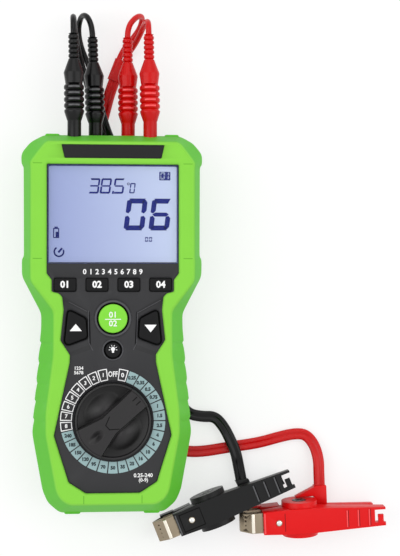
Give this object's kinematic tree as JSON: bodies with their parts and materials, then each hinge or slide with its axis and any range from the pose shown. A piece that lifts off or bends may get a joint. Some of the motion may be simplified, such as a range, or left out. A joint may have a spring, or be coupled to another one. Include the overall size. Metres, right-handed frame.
{
  "type": "cable length counter",
  "caption": "Handheld cable length counter in a rubber boot, with display, keys, rotary selector, tilt stand and a black and a red clip lead.",
  "frame": {"origin": "on the table under the middle of the meter", "axes": "+X to the meter's right, +Y towards its sockets, +Z out of its face"},
  "size_m": [0.2138, 0.3112, 0.0575],
  "materials": {
    "boot_rubber": "soft satin",
    "panel_plastic": "fine texture",
    "case_plastic": "fine texture",
    "badge": "bare",
    "window": "clear, polished",
    "lcd": "backlit blue",
    "diffuser": "milky",
    "board": "solder mask",
    "screw_steel": "zinc plated",
    "key_rubber": "satin",
    "select_green": "gloss",
    "knob_plastic": "satin",
    "dial_print": "printed label",
    "socket_plastic": "satin",
    "contact_brass": "plated",
    "cell_wrap": "printed wrap",
    "spring_steel": "bright",
    "plug_black": "soft satin",
    "plug_red": "satin",
    "cord_black": "satin",
    "cord_red": "satin",
    "clip_black": "satin",
    "clip_red": "gloss",
    "jaw_nickel": "warm nickel plate",
    "screw_black": "black oxide"
  },
  "bodies": {
    "meter": {"rubber_boot": "boot_rubber", "front_case": "panel_plastic", "rear_case": "case_plastic", "badge_plate": "badge", "display_window": "window", "lcd_module": "lcd", "backlight_frame": "diffuser", "main_board": "board", "board_screws": "screw_steel", "keypad_mat": "key_rubber", "dial_ring": "dial_print", "buzzer": "socket_plastic", "jack_block": "socket_plastic", "input_jacks": "contact_brass", "batteries": "cell_wrap", "battery_contacts": "spring_steel", "case_screws": "screw_steel", "plug_pins": "contact_brass", "black_outer_plug": "plug_black", "black_outer_lead": "cord_black", "black_inner_plug": "plug_black", "black_inner_lead": "cord_black", "black_splitter": "cord_black", "black_twin_cable": "cord_black", "black_clip_lower_lever": "clip_black", "black_clip_lower_jaw": "jaw_nickel", "black_clip_pivot_screw": "screw_black", "black_clip_spring": "spring_steel", "black_clip_strain_relief": "clip_black", "red_outer_plug": "plug_red", "red_outer_lead": "cord_red", "red_inner_plug": "plug_red", "red_inner_lead": "cord_red", "red_splitter": "cord_red", "red_twin_cable": "cord_red", "red_clip_lower_lever": "clip_red", "red_clip_lower_jaw": "jaw_nickel", "red_clip_pivot_screw": "screw_black", "red_clip_spring": "spring_steel", "red_clip_strain_relief": "clip_red"},
    "knob": {"selector_knob": "knob_plastic", "switch_rotor": "knob_plastic", "detent_balls": "spring_steel", "detent_springs": "spring_steel"},
    "stand": {"tilt_stand": "case_plastic"},
    "door": {"battery_door": "case_plastic", "battery_door_screw": "screw_steel"},
    "black_clip_top": {"black_clip_upper_lever": "clip_black", "black_clip_upper_jaw": "jaw_nickel"},
    "red_clip_top": {"red_clip_upper_lever": "clip_red", "red_clip_upper_jaw": "jaw_nickel"},
    "mode_key_1": {"mode_key_1": "key_rubber"},
    "mode_key_2": {"mode_key_2": "key_rubber"},
    "mode_key_3": {"mode_key_3": "key_rubber"},
    "mode_key_4": {"mode_key_4": "key_rubber"},
    "select_key": {"select_key": "select_green"},
    "up_key": {"up_key": "key_rubber"},
    "down_key": {"down_key": "key_rubber"},
    "light_key": {"light_key": "key_rubber"}
  },
  "joints": [
    {"name": "selector_turn", "type": "hinge", "parent": "meter", "child": "knob", "pos_m": [0, -0.0544, 0.05], "axis": [0, 0, 1], "continuous": true},
    {"name": "stand_swing", "type": "hinge", "parent": "meter", "child": "stand", "pos_m": [0, 0.052, 0.0046], "axis": [1, 0, 0], "range_deg": [0, 75]},
    {"name": "door_lift", "type": "slide", "parent": "meter", "child": "door", "axis": [0, 0, -1], "range_m": [0, 0.02]},
    {"name": "mode_key_1_press", "type": "slide", "parent": "meter", "child": "mode_key_1", "axis": [0, 0, -1], "range_m": [0, 0.0008], "stiffness_N_per_m": 300},
    {"name": "mode_key_2_press", "type": "slide", "parent": "meter", "child": "mode_key_2", "axis": [0, 0, -1], "range_m": [0, 0.0008], "stiffness_N_per_m": 300},
    {"name": "mode_key_3_press", "type": "slide", "parent": "meter", "child": "mode_key_3", "axis": [0, 0, -1], "range_m": [0, 0.0008], "stiffness_N_per_m": 300},
    {"name": "mode_key_4_press", "type": "slide", "parent": "meter", "child": "mode_key_4", "axis": [0, 0, -1], "range_m": [0, 0.0008], "stiffness_N_per_m": 300},
    {"name": "select_key_press", "type": "slide", "parent": "meter", "child": "select_key", "axis": [0, 0, -1], "range_m": [0, 0.0008], "stiffness_N_per_m": 300},
    {"name": "up_key_press", "type": "slide", "parent": "meter", "child": "up_key", "axis": [0, 0, -1], "range_m": [0, 0.0008], "stiffness_N_per_m": 300},
    {"name": "down_key_press", "type": "slide", "parent": "meter", "child": "down_key", "axis": [0, 0, -1], "range_m": [0, 0.0008], "stiffness_N_per_m": 300},
    {"name": "light_key_press", "type": "slide", "parent": "meter", "child": "light_key", "axis": [0, 0, -1], "range_m": [0, 0.0008], "stiffness_N_per_m": 300},
    {"name": "black_clip_open", "type": "hinge", "parent": "meter", "child": "black_clip_top", "pos_m": [0.05986, -0.11022, 0.01313], "axis": [-0.366, 0.9291, -0.0523], "range_deg": [0, 16], "stiffness_Nm_per_rad": 0.4, "springref_deg": -17.19, "deforming": ["black_clip_spring"]},
    {"name": "red_clip_open", "type": "hinge", "parent": "meter", "child": "red_clip_top", "pos_m": [0.11189, -0.11591, 0.01313], "axis": [-0.0505, 0.9969, 0.061], "range_deg": [0, 16], "stiffness_Nm_per_rad": 0.4, "springref_deg": -17.19, "deforming": ["red_clip_spring"]}
  ]
}
